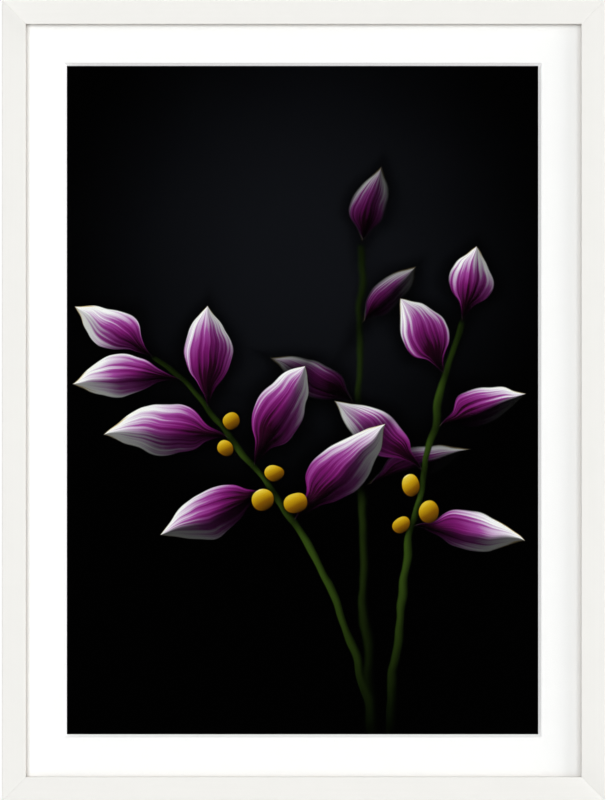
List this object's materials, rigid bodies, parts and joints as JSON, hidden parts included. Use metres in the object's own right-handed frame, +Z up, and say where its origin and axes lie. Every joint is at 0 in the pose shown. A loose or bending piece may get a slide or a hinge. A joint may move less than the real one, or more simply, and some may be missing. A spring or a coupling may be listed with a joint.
{
  "type": "framed print",
  "caption": "Upright white wooden picture frame with glass, bevelled white mat and a dark botanical print, with its boards, points and hanger behind.",
  "frame": {"origin": "on the wall plane behind the frame, at mid width, level with the top of the sawtooth hanger's middle notch", "axes": "+X to the viewer's right, +Y from the front of the frame into the wall, +Z up"},
  "size_m": [0.373, 0.0228, 0.495],
  "materials": {
    "frame_paint": "satin",
    "clear_glass": "gloss",
    "mat_board": "matte",
    "print_paper": "satin",
    "tape_paper": "matte",
    "foam_board": "matte",
    "hardboard": "matte",
    "point_steel": "satin",
    "v_nail_steel": "satin",
    "hanger_zinc": "satin",
    "bumper_rubber": "matte"
  },
  "bodies": {
    "root": {"rail_top": "frame_paint", "rail_right": "frame_paint", "rail_bottom": "frame_paint", "rail_left": "frame_paint", "glazing": "clear_glass", "mat": "mat_board", "print": "print_paper", "hinge_tape_left": "tape_paper", "hinge_tape_right": "tape_paper", "mount_board": "foam_board", "backing_board": "hardboard", "point_top_1": "point_steel", "point_top_2": "point_steel", "point_top_3": "point_steel", "point_bottom_1": "point_steel", "point_bottom_2": "point_steel", "point_bottom_3": "point_steel", "point_left_1": "point_steel", "point_left_2": "point_steel", "point_left_3": "point_steel", "point_left_4": "point_steel", "point_right_1": "point_steel", "point_right_2": "point_steel", "point_right_3": "point_steel", "point_right_4": "point_steel", "v_nail_top_left": "v_nail_steel", "v_nail_top_right": "v_nail_steel", "v_nail_bottom_left": "v_nail_steel", "v_nail_bottom_right": "v_nail_steel", "hanger": "hanger_zinc", "hanger_nail_left": "hanger_zinc", "hanger_nail_right": "hanger_zinc", "bumper_left": "bumper_rubber", "bumper_right": "bumper_rubber"}
  },
  "joints": []
}
